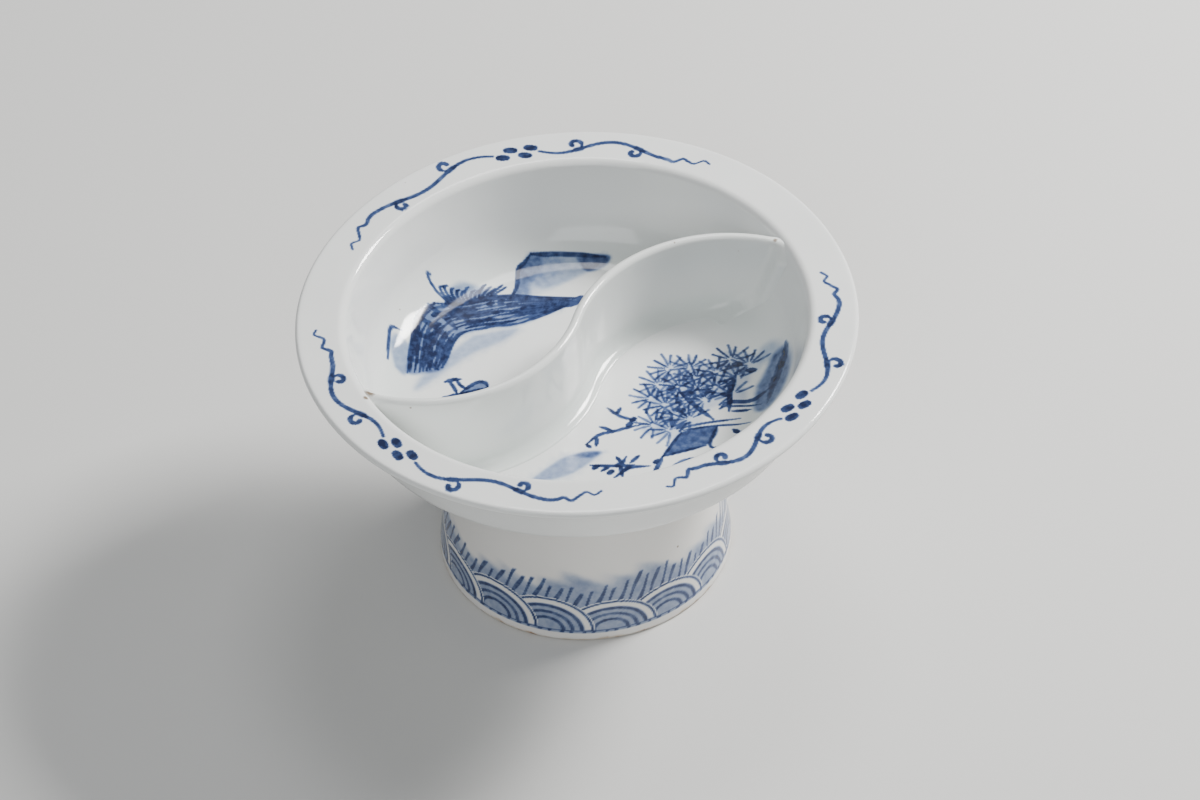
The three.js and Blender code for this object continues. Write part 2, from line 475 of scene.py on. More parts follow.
# %% Outline of the headland
ridge_back = [(12.6, 26.2), (5.3, 30.6), (0.5, 33.9), (-5.6, 36.6), (-11.7, 37.5), (-17.4, 39.2)]
ridge_side = [(-17.4, 39.2), (-22.2, 37.2), (-26.1, 32.6), (-29.6, 27.0), (-32.6, 22.4)]
ridge_front = [(8.8, 24.6), (4.9, 24.4), (-3.3, 24.4), (-10.0, 26.8), (-16.0, 27.6), (-20.0, 25.0),
               (-24.5, 20.0)]
shore = [(-14.0, 26.5), (-4.0, 23.8), (-8.0, 21.4), (-18.0, 20.6), (-33.0, 16.4), (-28.0, 21.5)]
headland = [wash(ridge_back + ridge_side[1:] + [(-29.0, 20.5)] + ridge_front[::-1], 0.5, 1.4),
            wash(shore, 0.3, 2.4),
            stroke([(13.6, 25.4), (11.4, 25.0), (8.6, 25.6)], 2.4, 0.8, taper=(0.9, 0.8))]
headland += strokes((ridge_back, 0.9, 0.85), (ridge_side, 1.25, 0.85))
print("marks in the outline of the headland:", len(headland))

# %% [markdown]
# ## Contours of the rock
# A painter shapes rock with long broken strokes that follow its crest and then bend down its flank.
# Each of these is drawn part of the way between the back line and the front line of the headland,
# with a little shake of the hand. The shake comes from one seeded source, so it repeats exactly.

# %% Contours and dabs on the headland
CONTOURS = 9
POINTS_ALONG = 14
FLANK_STROKES = 6
DABS = [(-6, 34.2), (-3.6, 33.4), (-10.5, 34.6), (-20.6, 34.2), (-22.4, 31.4), (-24.8, 27.6),
        (-25.6, 25.4), (-2.0, 31.6), (-0.2, 29.0), (-6.5, 31.2), (-19.2, 36.4), (-26.8, 23.4)]
back_line = evenly(ridge_back + ridge_side[1:], POINTS_ALONG)
front_line = evenly(ridge_front, POINTS_ALONG)
for i in range(CONTOURS):
    t = 0.08 + 0.86 * i / (CONTOURS - 1)
    shake = rng.uniform(-0.25, 0.25, (POINTS_ALONG, 2))
    contour = back_line * (1 - t) + front_line * t + shake
    cut = int(rng.integers(3, 6))
    for part in (contour[:cut + 2], contour[cut + 1:9], contour[8 + i % 2:]):
        width = rng.uniform(0.75, 1.35)
        headland.append(stroke(part.tolist(), width, rng.uniform(0.6, 0.92), taper=(0.5, 0.5)))
for i in range(FLANK_STROKES):
    start = back_line[7 + i]
    end = start * 0.45 + front_line[8 + i] * 0.55 + (1.2, -2.6)
    middle = (start + end) / 2 + (0.8, 0.5)
    headland.append(stroke([start, middle, end], 1.5, 0.6, taper=(0.7, 0.4)))
for spot in DABS:
    end = np.add(spot, (rng.uniform(0.6, 1.6), rng.uniform(-0.8, 0.4)))
    headland.append(stroke([spot, end], rng.uniform(1.1, 1.8), 0.8, taper=(0.8, 0.7)))
print("marks in the headland:", len(headland))

# %% Grass tuft, small rock and boat
GRASS_BLADES = 14
tuft_wash = [(-14.4, 36.8), (-13.0, 41.0), (-8.6, 42.2), (-4.4, 38.6), (-4.0, 35.0)]
tuft = []
for i in range(GRASS_BLADES):
    root = np.array([-13.6 + 0.7 * i, 37.6 - 0.2 * i])
    tip = root + np.array([-2.6 + 0.55 * i, 6.0 - 0.26 * i]) * rng.uniform(0.7, 1.15)
    middle = (root + tip) / 2 + (-0.5, 0.4)
    tuft.append(stroke([root, middle, tip, tip + (0.9, 0.3)], 0.75, 0.8, taper=(1.0, 0.6)))
tuft.append(wash(tuft_wash, 0.4, 1.8))

small_rock = [wash([(-34.6, 24.6), (-32.8, 30.6), (-30.0, 33.0), (-28.6, 29.0), (-33.2, 22.0)], 0.4, 1.3)]
small_rock += strokes(([(-35.4, 26.6), (-33.0, 31.2), (-30.6, 34.4), (-28.4, 33.8)], 0.75, 0.78))

boat = [wash([(-24.8, 10.6), (-21.9, 11.5), (-19.4, 11.7), (-18.6, 9.6), (-23.4, 9.8)], 0.6, 0.5)]
boat += strokes(
    ([(-28.8, 11.2), (-24.3, 9.8), (-18.9, 9.2)], 1.9, 0.88),
    ([(-24.6, 10.9), (-22.0, 11.7), (-19.8, 12.0), (-18.4, 10.9), (-18.7, 9.2)], 1.1, 0.88),
    ([(-26.3, 15.7), (-24.6, 15.5), (-22.8, 14.8)], 1.3, 0.88),
    ([(-25.5, 15.4), (-25.4, 13.2), (-25.7, 10.9)], 1.0, 0.88),
    ([(-23.7, 15.0), (-23.8, 13.0), (-23.0, 11.2)], 0.9, 0.85))
print("marks in tuft, rock and boat:", len(tuft), len(small_rock), len(boat))

# %% [markdown]
# ## The near compartment
# On the near side two pines lean over a roof, with a dark bank that climbs the side of the well, a
# bare branch, a bush and a low mound. Pine needles are short pulls that fan out from a point over
# a pale wash, so one fan is made by rule and set on each place where the painter put one.

# %% Pines
PINE_SPOTS = [(20.3, -5.4), (15.6, -8.8), (19.4, -11.6), (24.0, -11.0), (13.8, -15.4), (18.6, -16.4),
              (8.6, -19.8), (11.0, -23.0), (14.2, -19.6), (34.0, -9.6), (36.6, -13.0), (32.2, -15.2),
              (29.0, -11.6), (26.6, -16.0), (22.4, -18.2), (28.8, -19.6), (12.0, -12.0),
              (22.6, -14.2), (16.4, -22.0), (24.6, -7.4)]
PINE_KNOTS = [(33.8, -11.2), (35.6, -14.6), (19.6, -14.2), (23.6, -15.6), (15.4, -18.2),
              (26.8, -18.6), (17.0, -11.0)]
TRUNKS = [[(25.4, -24.0), (27.6, -20.4), (29.8, -17.0), (33.0, -14.0)],
          [(21.0, -24.6), (19.6, -19.0), (18.6, -13.6)],
          [(24.0, -22.4), (27.0, -21.6), (31.2, -23.6), (36.2, -23.4)]]
NEEDLES = 9
NEEDLE_LENGTH = 4.9


def around(centre, angle, across, up=None):
    """A point at an angle round a centre, on a circle or an ellipse."""
    return (centre[0] + across * math.cos(angle), centre[1] + (up or across) * math.sin(angle))


def needle_fan(centre, start, end):
    """Needles that spread from a centre, between two angles in degrees."""
    marks = []
    for i in range(NEEDLES):
        a = math.radians(start + (end - start) * (i + 0.5) / NEEDLES + rng.uniform(-4, 4))
        inner = NEEDLE_LENGTH * rng.uniform(0.15, 0.28)
        outer = NEEDLE_LENGTH * rng.uniform(0.85, 1.08)
        bow = 0.2 * rng.uniform(-0.25, 0.25)
        line = [around(centre, a, inner), around(centre, a + bow, (inner + outer) / 2),
                around(centre, a, outer)]
        marks.append(stroke(line, 0.66, 0.74 * rng.uniform(0.75, 1.1), soft=0.2, taper=(0.6, 1.0)))
    return marks


pines = []
for spot in PINE_SPOTS:
    lift = rng.uniform(15, 40)
    pines += needle_fan(spot, lift - 45, lift + 215)
    pines.append(wash([around(spot, k * math.pi / 3, 3.6, 3.2) for k in range(6)], 0.17, 1.8))
pines += [stroke([spot, np.add(spot, (1.1, -0.7))], 1.7, 0.8, taper=(0.8, 0.8)) for spot in PINE_KNOTS]
pines += [stroke(trunk, 1.3, 0.75) for trunk in TRUNKS]
print("marks in the pines:", len(pines))

# %% House and bank
BANK_STROKES = 7
roof = [(5.4, -29.6), (12.8, -24.8), (20.6, -27.2), (15.6, -31.2)]
house = [wash(roof, 0.75, 0.5)]
house += strokes(
    (roof[:2], 0.8, 0.85),
    ([(12.4, -23.4), (18.8, -24.8), (26.6, -27.4)], 0.8, 0.8),
    ([(13.4, -24.4), (20.2, -26.6), (27.6, -30.0)], 0.7, 0.8),
    ([(20.6, -27.2), (17.6, -30.0), (16.4, -32.2), (18.6, -33.6)], 0.8, 0.8),
    ([(5.4, -29.6), (2.8, -32.0), (1.2, -33.4)], 1.2, 0.8),
    ([(4.6, -34.0), (8.4, -33.0), (12.4, -33.6)], 0.9, 0.75),
    ([(5.4, -29.6), (10.6, -30.4), (15.6, -31.2)], 0.8, 0.8),
    ([(24.6, -22.0), (28.4, -23.8), (32.4, -26.4)], 0.7, 0.75),
    ([(26.0, -24.4), (29.8, -26.2)], 0.9, 0.8),
    ([(23.4, -29.8), (24.0, -31.6)], 1.4, 0.85))

bank_outline = [(34.6, -20.4), (38.6, -17.4), (42.0, -15.0), (44.2, -16.4), (42.4, -22.2),
                (38.0, -26.8), (32.4, -29.0), (30.4, -26.8)]
bank_top = [(38.6, -13.4), (41.0, -10.6), (43.6, -11.4), (44.0, -15.6), (41.0, -16.6)]
bank = [wash(bank_outline, 0.62, 1.8), wash(bank_top, 0.25, 2.4)]
for i in range(BANK_STROKES):
    low_end = np.array([33.4 + 1.3 * i, -27.4 + 1.1 * i])
    line = [low_end, low_end + (2.2, 2.8), low_end + (3.6, 5.4)]
    bank.append(stroke(line, rng.uniform(0.8, 1.4), 0.55))
print("marks in house and bank:", len(house), len(bank))

# %% Branch, bush and mound
BRANCH = [[(-7.7, -17.9), (-3.8, -16.6), (-0.3, -17.2), (2.7, -17.6), (6.6, -18.4)],
          [(1.9, -9.8), (2.6, -12.2), (3.6, -14.2), (5.6, -16.6)],
          [(4.5, -11.2), (2.9, -12.6)], [(-2.4, -14.4), (-0.6, -16.6)],
          [(-6.0, -19.4), (-4.4, -17.0)], [(-7.7, -17.9), (-7.2, -19.4)]]
BUSH = [[(-9.9, -24.2), (-7.0, -26.0), (-4.0, -27.6), (-1.2, -28.8)],
        [(-5.4, -31.0), (-4.2, -28.0), (-1.6, -25.6)], [(-8.6, -27.0), (-6.2, -26.6)],
        [(-3.6, -24.6), (-3.4, -27.4)], [(1.0, -26.8), (-1.8, -27.8)],
        [(-7.0, -30.2), (-2.6, -29.2), (1.6, -30.8)]]
LEAVES = [(-9.6, -25.4), (-7.4, -28.4), (-3.4, -29.0), (-4.8, -27.2), (3.2, -30.4), (4.8, -16.0),
          (3.4, -17.0)]
mound_outline = [(-24.0, -21.9), (-18.1, -20.0), (-12.7, -19.0), (-5.7, -21.6), (-8.4, -23.0),
                 (-15.0, -24.6), (-20.7, -23.8)]
mound_crest = [(-12.4, -19.4), (-8.8, -19.8), (-5.9, -21.5), (-8.6, -22.2)]
growth = [stroke(line, 1.0, 0.85) for line in BRANCH] + [stroke(line, 1.0, 0.88) for line in BUSH]
growth += [stroke([spot, np.add(spot, (0.8, 0.2))], 1.4, 0.88, taper=(0.9, 0.9)) for spot in LEAVES]
mound = [wash(mound_outline, 0.42, 1.4), wash(mound_crest, 0.45, 1.0)]

landscape = hill + headland + tuft + small_rock + boat + pines + house + bank + growth + mound
painting = landscape + scroll
print("marks inside the bowl and on its flange:", len(painting))

# %% [markdown]
# ## A mesh from numbers
# Every clay piece is built from arrays of points and faces, in millimetres, and is scaled to metres
# as it becomes a mesh. A thrown dish is never quite round or level. One slight warp, the same for
# all pieces and stronger towards the rim, moves them together, so nothing opens at the joints.

# %% From points and faces to a piece
SINK = 0.2


def thrown(points):
    """The slight unevenness of a hand-made dish. The sink keeps the highest places at the rim's height."""
    x, y, z = points.T
    turn, r = np.arctan2(y, x), np.hypot(x, y)
    share = (z / RIM_Z) ** 2 * (r / RIM_R)
    grow = 1 + share * (0.0022 * np.sin(2 * turn + 1.1) + 0.0016 * np.sin(3 * turn + 0.4))
    lift = share * (r / RIM_R) * (0.16 * np.sin(2 * turn + 0.3) + 0.09 * np.sin(5 * turn))
    return np.stack([x * grow, y * grow, z + lift - SINK * share], 1)


def piece_from(name, points, faces, numbers):
    """A smooth piece in metres, with named numbers at its points for the glaze to read."""
    mesh = bpy.data.meshes.new(name)
    mesh.from_pydata((thrown(points) * MM).tolist(), [], [tuple(f) for f in faces])
    for key, values in numbers.items():
        layer = mesh.attributes.new(key, "FLOAT", "POINT")
        layer.data.foreach_set("value", np.asarray(values, np.float32))
    mesh.shade_smooth()
    piece = bpy.data.objects.new(name, mesh)
    bpy.context.scene.collection.objects.link(piece)
    print(name, "has", len(mesh.polygons), "faces")
    return piece


def ring(r, z, count):
    """Points round the axis at one radius and height."""
    a = np.arange(count) * 2 * math.pi / count
    return np.stack([r * np.cos(a), r * np.sin(a), np.full(count, z)], 1)


def band(low, high, count):
    """Faces between two rings, given by the number of their first points."""
    a = np.arange(count)
    b = (a + 1) % count
    return np.stack([low + a, low + b, high + b, high + a], 1).tolist()


print("the warp lifts the rim by", round(thrown(np.array([[RIM_R, 0, RIM_Z]]))[0, 2] - RIM_Z, 2), "mm")

# %% [markdown]
# ## The top of the bowl
# The painting needs small faces, about a third of a millimetre, and plain glaze doesn't. So the top
# is laid out in the plan: rings where the outline bends, and a fine triangular grid only where the
# brush has been. A Delaunay triangulation joins all these points, and the formula lifts them.

# %% Points in the plan
BOWL_SIDES = 480
FINE = 0.3
GRID_REACH = 0.35
RING_REACH = 0.45


def painted_grid():
    """A fine grid wherever there is paint, off the shoulder and the lip."""
    across = np.arange(-RIM_R, RIM_R, FINE)
    rows = np.arange(-RIM_R, RIM_R, FINE * math.sqrt(3) / 2)
    x, y = np.meshgrid(across, rows)
    x = x + FINE / 2 * (np.arange(len(rows)) % 2)[:, None]
    grid = np.stack([x.ravel(), y.ravel()], 1)
    r = np.hypot(*grid.T)
    in_well = r < side_top_r - 0.4
    on_flange_top = (r > WELL_R + 0.4) & (r < RIM_R - LIP - 0.4)
    grid = grid[in_well | on_flange_top]
    return grid[paint(grid, painting)[1] < GRID_REACH]


def form_rings():
    """Rings close together where the outline bends, left out under the paint."""
    shoulder_turns = LEAN + np.arange(12) / 11 * (math.pi / 2 - LEAN)
    radii = [*np.arange(1.5, bend_r, 2.0), *np.arange(bend_r, side_low_r, 0.5),
             *np.linspace(side_low_r, side_top_r, 14)[:-1],
             *(WELL_R - SHOULDER * np.cos(shoulder_turns)),
             *np.linspace(WELL_R + 0.9, RIM_R - LIP - 0.7, 8)]
    counts = [BOWL_SIDES if r > bend_r - 0.1 else max(12, int(r * 4)) for r in radii]
    rings = np.vstack([ring(r, 0, count)[:, :2] for r, count in zip(radii, counts)])
    r = np.hypot(*rings.T)
    on_shoulder = (r > side_top_r - 0.5) & (r < WELL_R + 0.5)
    return rings[(paint(rings, painting)[1] > RING_REACH) | on_shoulder]


edge_points = ring(RIM_R - LIP, 0, BOWL_SIDES)[:, :2]
plan = np.vstack([edge_points, form_rings(), painted_grid(), [[0, 0]]])
print("points in the plan of the bowl:", len(plan))

# %% [markdown]
# ## The lip and the underside
# Below its lip the bowl is turned, so rings follow one outline: round the lip, under the flange,
# down the belly and across below the floor. The outermost ring of the top is shared with the first
# of these, so the bowl closes without a seam.

# %% Outline of lip and underside
LIP_STEPS = 12
UNDERSIDE_POINTS = 34
BELLY_Z = FLOOR_Z + 6.5
COVE_Z = RIM_Z - 8.3


def outer_r(z):
    """Radius of the outside of the bowl's leaning side at a height."""
    return side_top_r - (shoulder_z - z) * math.tan(LEAN) + SIDE_THICKNESS


def underside_outline():
    lip_r, lip_z = RIM_R - LIP, RIM_Z - LIP
    turns = np.linspace(math.pi / 2, -math.pi / 2, LIP_STEPS + 1)[1:]
    lip = [(lip_r + LIP * math.cos(a), lip_z + LIP * math.sin(a)) for a in turns]
    lip_low_z = RIM_Z - 2 * LIP
    belly_r = outer_r(BELLY_Z)
    cove_r = outer_r(COVE_Z) + 0.6
    below = evenly([(lip_r, lip_low_z), ((cove_r + lip_r) / 2, (COVE_Z + lip_low_z) / 2 + 0.2),
                    (cove_r, COVE_Z), (belly_r, BELLY_Z), (belly_r - 2.2, FLOOR_Z + 3.2),
                    ((NECK_R + belly_r) / 2 - 0.9, FLOOR_Z - 1.6), (NECK_R + 1.2, UNDER_Z)],
                   UNDERSIDE_POINTS)
    inner = [(r, UNDER_Z) for r in (NECK_R - 2, 24.0, 16.0, 8.0, 2.0)]
    return lip + [tuple(p) for p in below[1:]] + inner


print("rings below the top of the bowl:", len(underside_outline()))

# %% Build the bowl
def make_bowl():
    found = delaunay_2d_cdt([Vector(p) for p in plan], [], [], 0, 1e-6)
    flat = np.array([tuple(v) for v in found[0]])
    number_of = {given: k for k, ids in enumerate(found[3]) for given in ids}
    edge = np.array([number_of[i] for i in range(BOWL_SIDES)])
    top = np.column_stack([flat, well_height(np.hypot(*flat.T))])
    outline = underside_outline()
    rings = np.vstack([ring(r, z, BOWL_SIDES) for r, z in outline])
    points = np.vstack([top, rings, [[0, 0, UNDER_Z]]])

    first = len(top)
    last = first + len(rings) - BOWL_SIDES
    a = np.arange(BOWL_SIDES)
    b = (a + 1) % BOWL_SIDES
    faces = [tuple(f) for f in found[2]]
    faces += np.stack([edge[a], first + a, first + b, edge[b]], 1).tolist()
    for low in range(first, last, BOWL_SIDES):
        faces += [tuple(reversed(f)) for f in band(low, low + BOWL_SIDES, BOWL_SIDES)]
    faces += [(last + j, last + i, len(points) - 1) for i, j in zip(a, b)]

    cobalt = np.zeros(len(points))
    cobalt[:first] = paint(flat, painting)[0]
    r, z = np.hypot(points[:, 0], points[:, 1]), points[:, 2]
    pooling = np.exp(-((r - bend_r - 5) / 5) ** 2) * (z > FLOOR_Z - 0.1) * (z < FLOOR_Z + 8)
    numbers = {"cobalt": cobalt, "pooling": pooling, "bare": np.zeros(len(points))}
    return piece_from("bowl_glazed", points, faces, numbers)


bowl = make_bowl()

# %% [markdown]
# ## A recipe for glaze
# Porcelain glaze is a thin clear glass over a cool white body. Three numbers at the points of a
# piece drive it: cobalt, the pooling of thick glaze, and bare clay. A small class keeps the calls
# for nodes short.

# %% Short calls for nodes
class Recipe:
    """A material in the making."""

    def __init__(self, name):
        self.made, self.tree, self.shader = material(name)
        self.place = self.tree.nodes.new("ShaderNodeTexCoord").outputs["Object"]

    def feed(self, node, inputs):
        """Sets inputs to numbers or colours, or joins other nodes to them."""
        for key, value in inputs.items():
            if isinstance(value, bpy.types.NodeSocket):
                self.tree.links.new(value, node.inputs[key])
            else:
                node.inputs[key].default_value = (*value, 1) if isinstance(value, tuple) else value

    def add(self, kind, inputs, **settings):
        """Adds a node with its settings and inputs, and gives its outputs."""
        node = self.tree.nodes.new("ShaderNode" + kind)
        for key, value in settings.items():
            setattr(node, key, value)
        self.feed(node, inputs)
        return node.outputs

    def noise(self, scale, detail=3.0):
        return self.add("TexNoise", {"Vector": self.place, "Scale": scale, "Detail": detail})["Fac"]

    def number(self, name):
        return self.add("Attribute", {}, attribute_name=name)["Fac"]

    def calc(self, kind, a, b):
        return self.add("Math", {0: a, 1: b}, operation=kind)[0]

    def spread(self, value, low, high, to_low, to_high):
        given = {"Value": value, "From Min": low, "From Max": high, "To Min": to_low, "To Max": to_high}
        return self.add("MapRange", given)["Result"]

    def blend(self, share, a, b, kind="MIX"):
        given = {"Factor": share, "A": a, "B": b}
        return self.add("Mix", given, data_type="RGBA", blend_type=kind)["Result"]


print("parts of a recipe:", [name for name in vars(Recipe) if not name.startswith("_")])

# %% [markdown]
# ## The colour of the glaze
# Cobalt goes from a pale blue wash to nearly black where the brush was full, so one number runs
# along a ramp of colours that tints the white body. Thick glaze is a little greener. Iron in the
# clay leaves small brown specks, and the edge that the dish was fired on is bare and rusty.

# %% Body, cobalt, specks and bare clay
THICK_GLAZE = (0.60, 0.66, 0.64)
IRON = (0.16, 0.10, 0.05)
PALE_CLAY = (0.60, 0.53, 0.44)
RUSTY_CLAY = (0.33, 0.17, 0.08)
COBALT = [(0.0, (1, 1, 1)), (0.25, (0.48, 0.56, 0.73)), (0.5, (0.18, 0.25, 0.45)),
          (0.75, (0.045, 0.075, 0.20)), (0.97, (0.013, 0.020, 0.065))]
SPECK_CELLS = 150
SPECK_RARITY = 0.74


def glazed_body(mix, white):
    uneven = mix.spread(mix.noise(38), 0.35, 0.7, 0, 1)
    body = mix.blend(uneven, white, tuple(c * 0.955 for c in white))
    return mix.blend(mix.calc("MULTIPLY", mix.number("pooling"), 0.5), body, THICK_GLAZE)


def painted(mix, body):
    """The body tinted by cobalt, whose grains lie unevenly."""
    grains = mix.spread(mix.noise(600), 0.3, 0.7, 0.82, 1.12)
    ramp = mix.tree.nodes.new("ShaderNodeValToRGB")
    mix.feed(ramp, {"Fac": mix.calc("MULTIPLY", mix.number("cobalt"), grains)})
    stops = ramp.color_ramp.elements
    stops.remove(stops[1])
    stops[0].color = (*COBALT[0][1], 1)
    for at, colour in COBALT[1:]:
        stops.new(at).color = (*colour, 1)
    return mix.blend(1, body, ramp.outputs["Color"], "MULTIPLY")


def iron_specks(mix, stains):
    """Rare specks in the cells of a Voronoi pattern, and stains at given places."""
    cells = mix.add("TexVoronoi", {"Scale": SPECK_CELLS, "Vector": mix.place})
    rare = mix.calc("GREATER_THAN", cells["Color"], SPECK_RARITY)
    specks = mix.calc("MULTIPLY", mix.spread(cells["Distance"], 0.03, 0.055, 0.75, 0), rare)
    for x, y, z, size in stains:
        ends = {0: mix.place, 1: Vector((x, y, z)) * MM}
        away = mix.add("VectorMath", ends, operation="DISTANCE")["Value"]
        ragged = mix.calc("MULTIPLY", mix.noise(1500), 0.6 * size * MM)
        reach = mix.calc("ADD", away, ragged)
        stain = mix.spread(reach, 0.8 * size * MM, 1.4 * size * MM, 0.9, 0)
        specks = mix.calc("MAXIMUM", specks, stain)
    return specks


def bare_clay(mix):
    grit = mix.spread(mix.noise(420, 5), 0.52, 0.68, 0, 1)
    return mix.blend(grit, PALE_CLAY, RUSTY_CLAY)


print("stops of the cobalt ramp:", len(COBALT))

# %% [markdown]
# ## Gloss and ripple
# Glaze is nearly a mirror, yet never as flat as glass. A low bump in two sizes gives it the soft
# ripple that breaks a highlight, and the roughness wanders a little. Bare clay is matt. The pieces
# differ slightly: the foot is a warmer grey, and its glaze is thinner and less shiny. The wall's
# white is a darker, greyer copy of the bowl's white, which is painted shade on the wall.

# %% Mix the glazes
BARE_ROUGHNESS = 0.75
GLASS_IOR = 1.5
RIPPLE_STRENGTH = 0.35
RIPPLE_HEIGHT = 0.0004


def glaze(name, white, rough=0.07, stains=()):
    """A finished glaze: its colour, its gloss and its ripple."""
    mix = Recipe(name)
    bare = mix.number("bare")
    colour = painted(mix, glazed_body(mix, white))
    colour = mix.blend(iron_specks(mix, stains), colour, IRON)
    wandering = mix.spread(mix.noise(300), 0.3, 0.7, rough, rough * 1.9)
    matt = mix.calc("MULTIPLY", bare, BARE_ROUGHNESS)
    small = mix.calc("MULTIPLY", mix.noise(700, 2), 0.05)
    height = mix.calc("ADD", mix.noise(95, 2), small)
    ripple = mix.add("Bump", {"Strength": RIPPLE_STRENGTH, "Distance": RIPPLE_HEIGHT, "Height": height})
    mix.feed(mix.shader, {"Base Color": mix.blend(bare, colour, bare_clay(mix)),
                                "Roughness": mix.calc("MAXIMUM", wandering, matt),
                                "IOR": GLASS_IOR, "Normal": ripple["Normal"]})
    return mix.made


BOWL_STAINS = [(-52.9, -1.2, 70.3, 0.7), (-4.6, 46.4, 55.0, 0.4), (20.0, 46.8, 57.0, 0.35),
               (-18.4, 49.4, 63.0, 0.4), (38.0, 33.6, 57.5, 0.35)]
WALL_STAINS = [(-51.0, 0.4, 70.0, 1.5), (-46.4, -2.6, 70.1, 0.5), (13.4, 7.4, 70.1, 0.45),
               (50.9, 0.4, 70.1, 0.6), (47.4, 2.4, 70.1, 0.4), (30.6, 10.9, 69.8, 0.3)]
FOOT_STAINS = [(20.4, -24.6, 30.0, 0.3), (8.0, -31.2, 20.0, 0.35)]
bowl_glaze = glaze("bowl_glaze", (0.79, 0.805, 0.795), stains=BOWL_STAINS)
# The wall's white is darker and greyer than the bowl's: painted shade on the wall.
wall_glaze = glaze("wall_glaze", (0.74, 0.765, 0.75), stains=WALL_STAINS)
foot_glaze = glaze("foot_glaze", (0.78, 0.765, 0.735), 0.1, FOOT_STAINS)
bowl.data.materials.append(bowl_glaze)
print("nodes in the bowl's glaze:", len(bowl_glaze.node_tree.nodes))

# %% [markdown]
# ## The S wall
# The wall was a slab of clay, bent to an S and set on edge in the well. It has one section all the
# way, so it is a sweep: the path is two opposed arcs, and the section has a rounded top, a slight
# taper, and a soft fillet of slip on both sides, where a finger ran along the joint.

# %% Path and section
PATH_STEPS = 120
OVERRUN = 1.13
SLIP_FILLET = 3.2
FLOOR_GAP = 0.02
SECTION_DEPTH = 1.0


def s_path(steps):
    """The S in the plan. It overruns the well at both ends."""
    half = side_top_r / 2
    radius = (half ** 2 + LOBE_BULGE ** 2) / (2 * LOBE_BULGE)
    opening = math.asin(half / radius)
    line = []
    for i in range(steps + 1):
        t = (2 * i / steps - 1) * OVERRUN
        a = opening * (2 * abs(t) - 1)
        side = math.copysign(1, t)
        x = half + radius * math.sin(a)
        y = radius * math.cos(a) - radius + LOBE_BULGE
        line.append((side * x, side * y))
    return line


def wall_section():
    """Half of the section, from the top down to below the floor, and then its mirror image."""
    top = WALL_TOP_Z - FLOOR_Z - WALL_TOP_HALF
    half = [(WALL_TOP_HALF * math.sin(a), top + WALL_TOP_HALF * math.cos(a))
            for a in np.linspace(0, math.pi / 2, 7)]
    half += [(WALL_TOP_HALF + (WALL_BASE_HALF - WALL_TOP_HALF) * t, top + (SLIP_FILLET - top) * t)
             for t in np.linspace(0.1, 1, 9)]
    outer = WALL_BASE_HALF + SLIP_FILLET
    half += [(outer - SLIP_FILLET * math.cos(a), SLIP_FILLET + FLOOR_GAP - SLIP_FILLET * math.sin(a))
             for a in np.linspace(0, math.pi / 2, 9)[1:]]
    half.append((outer, -SECTION_DEPTH))
    return half + [(-x, height) for x, height in reversed(half[1:])]


print("points in the section:", len(wall_section()))

# %% [markdown]
# ## The sweep in Geometry Nodes
# Curve to Mesh carries a section along a path and closes its ends. The tree takes the section, the
# height of the floor that the wall stands on, and the finish as its inputs, so it serves for any
# slab on any floor. A level path turns the second coordinate of a section downwards.

# %% Tree of the sweep
def sweep_tree():
    tree = bpy.data.node_groups.new("slab_along_path", "GeometryNodeTree")
    for name, kind in (("Path", "Geometry"), ("Section", "Object"), ("Floor Height", "Float"),
                       ("Finish", "Material")):
        tree.interface.new_socket(name, in_out="INPUT", socket_type="NodeSocket" + kind)
    tree.interface.new_socket("Slab", in_out="OUTPUT", socket_type="NodeSocketGeometry")
    nodes, link = tree.nodes, tree.links.new
    given = nodes.new("NodeGroupInput").outputs
    section = nodes.new("GeometryNodeObjectInfo")
    sweep = nodes.new("GeometryNodeCurveToMesh")
    sweep.inputs["Fill Caps"].default_value = True
    height = nodes.new("ShaderNodeCombineXYZ")
    link(given["Section"], section.inputs["Object"])
    link(given["Path"], sweep.inputs["Curve"])
    link(section.outputs["Geometry"], sweep.inputs["Profile Curve"])
    link(given["Floor Height"], height.inputs["Z"])
    slab = sweep.outputs["Mesh"]
    chain = {}
    for kind in ("Transform", "SetShadeSmooth", "RealizeInstances", "SetMaterial"):
        chain[kind] = nodes.new("GeometryNode" + kind)
        link(slab, chain[kind].inputs["Geometry"])
        slab = chain[kind].outputs["Geometry"]
    link(height.outputs["Vector"], chain["Transform"].inputs["Translation"])
    link(given["Finish"], chain["SetMaterial"].inputs["Material"])
    link(slab, nodes.new("NodeGroupOutput").inputs["Slab"])
    return tree


def curve_object(name, points, closed):
    """A curve of straight steps through points in the plan."""
    data = bpy.data.curves.new(name, "CURVE")
    data.dimensions = "3D"
    spline = data.splines.new("POLY")
    spline.points.add(len(points) - 1)
    for target, (x, y) in zip(spline.points, points):
        target.co = (x, y, 0, 1)
    spline.use_cyclic_u = closed
    curve = bpy.data.objects.new(name, data)
    bpy.context.scene.collection.objects.link(curve)
    return curve


def swept_slab():
    """Runs the sweep, and gives its points and faces."""
    path = curve_object("s_path", s_path(PATH_STEPS), False)
    section = curve_object("wall_section", [(x, -height) for x, height in wall_section()], True)
    sweep = path.modifiers.new("sweep", "NODES")
    sweep.node_group = sweep_tree()
    sockets = {s.name: s.identifier for s in sweep.node_group.interface.items_tree}
    sweep[sockets["Section"]] = section
    sweep[sockets["Floor Height"]] = FLOOR_Z
    sweep[sockets["Finish"]] = wall_glaze
    seen = path.evaluated_get(bpy.context.evaluated_depsgraph_get())
    mesh = bpy.data.meshes.new_from_object(seen)
    path.modifiers.remove(sweep)
    for used in (path, section):
        bpy.data.objects.remove(used)
    points = np.array([v.co for v in mesh.vertices])
    return points, [tuple(p.vertices) for p in mesh.polygons]


slab_points, slab_faces = swept_slab()
print("faces of the swept slab:", len(slab_faces))

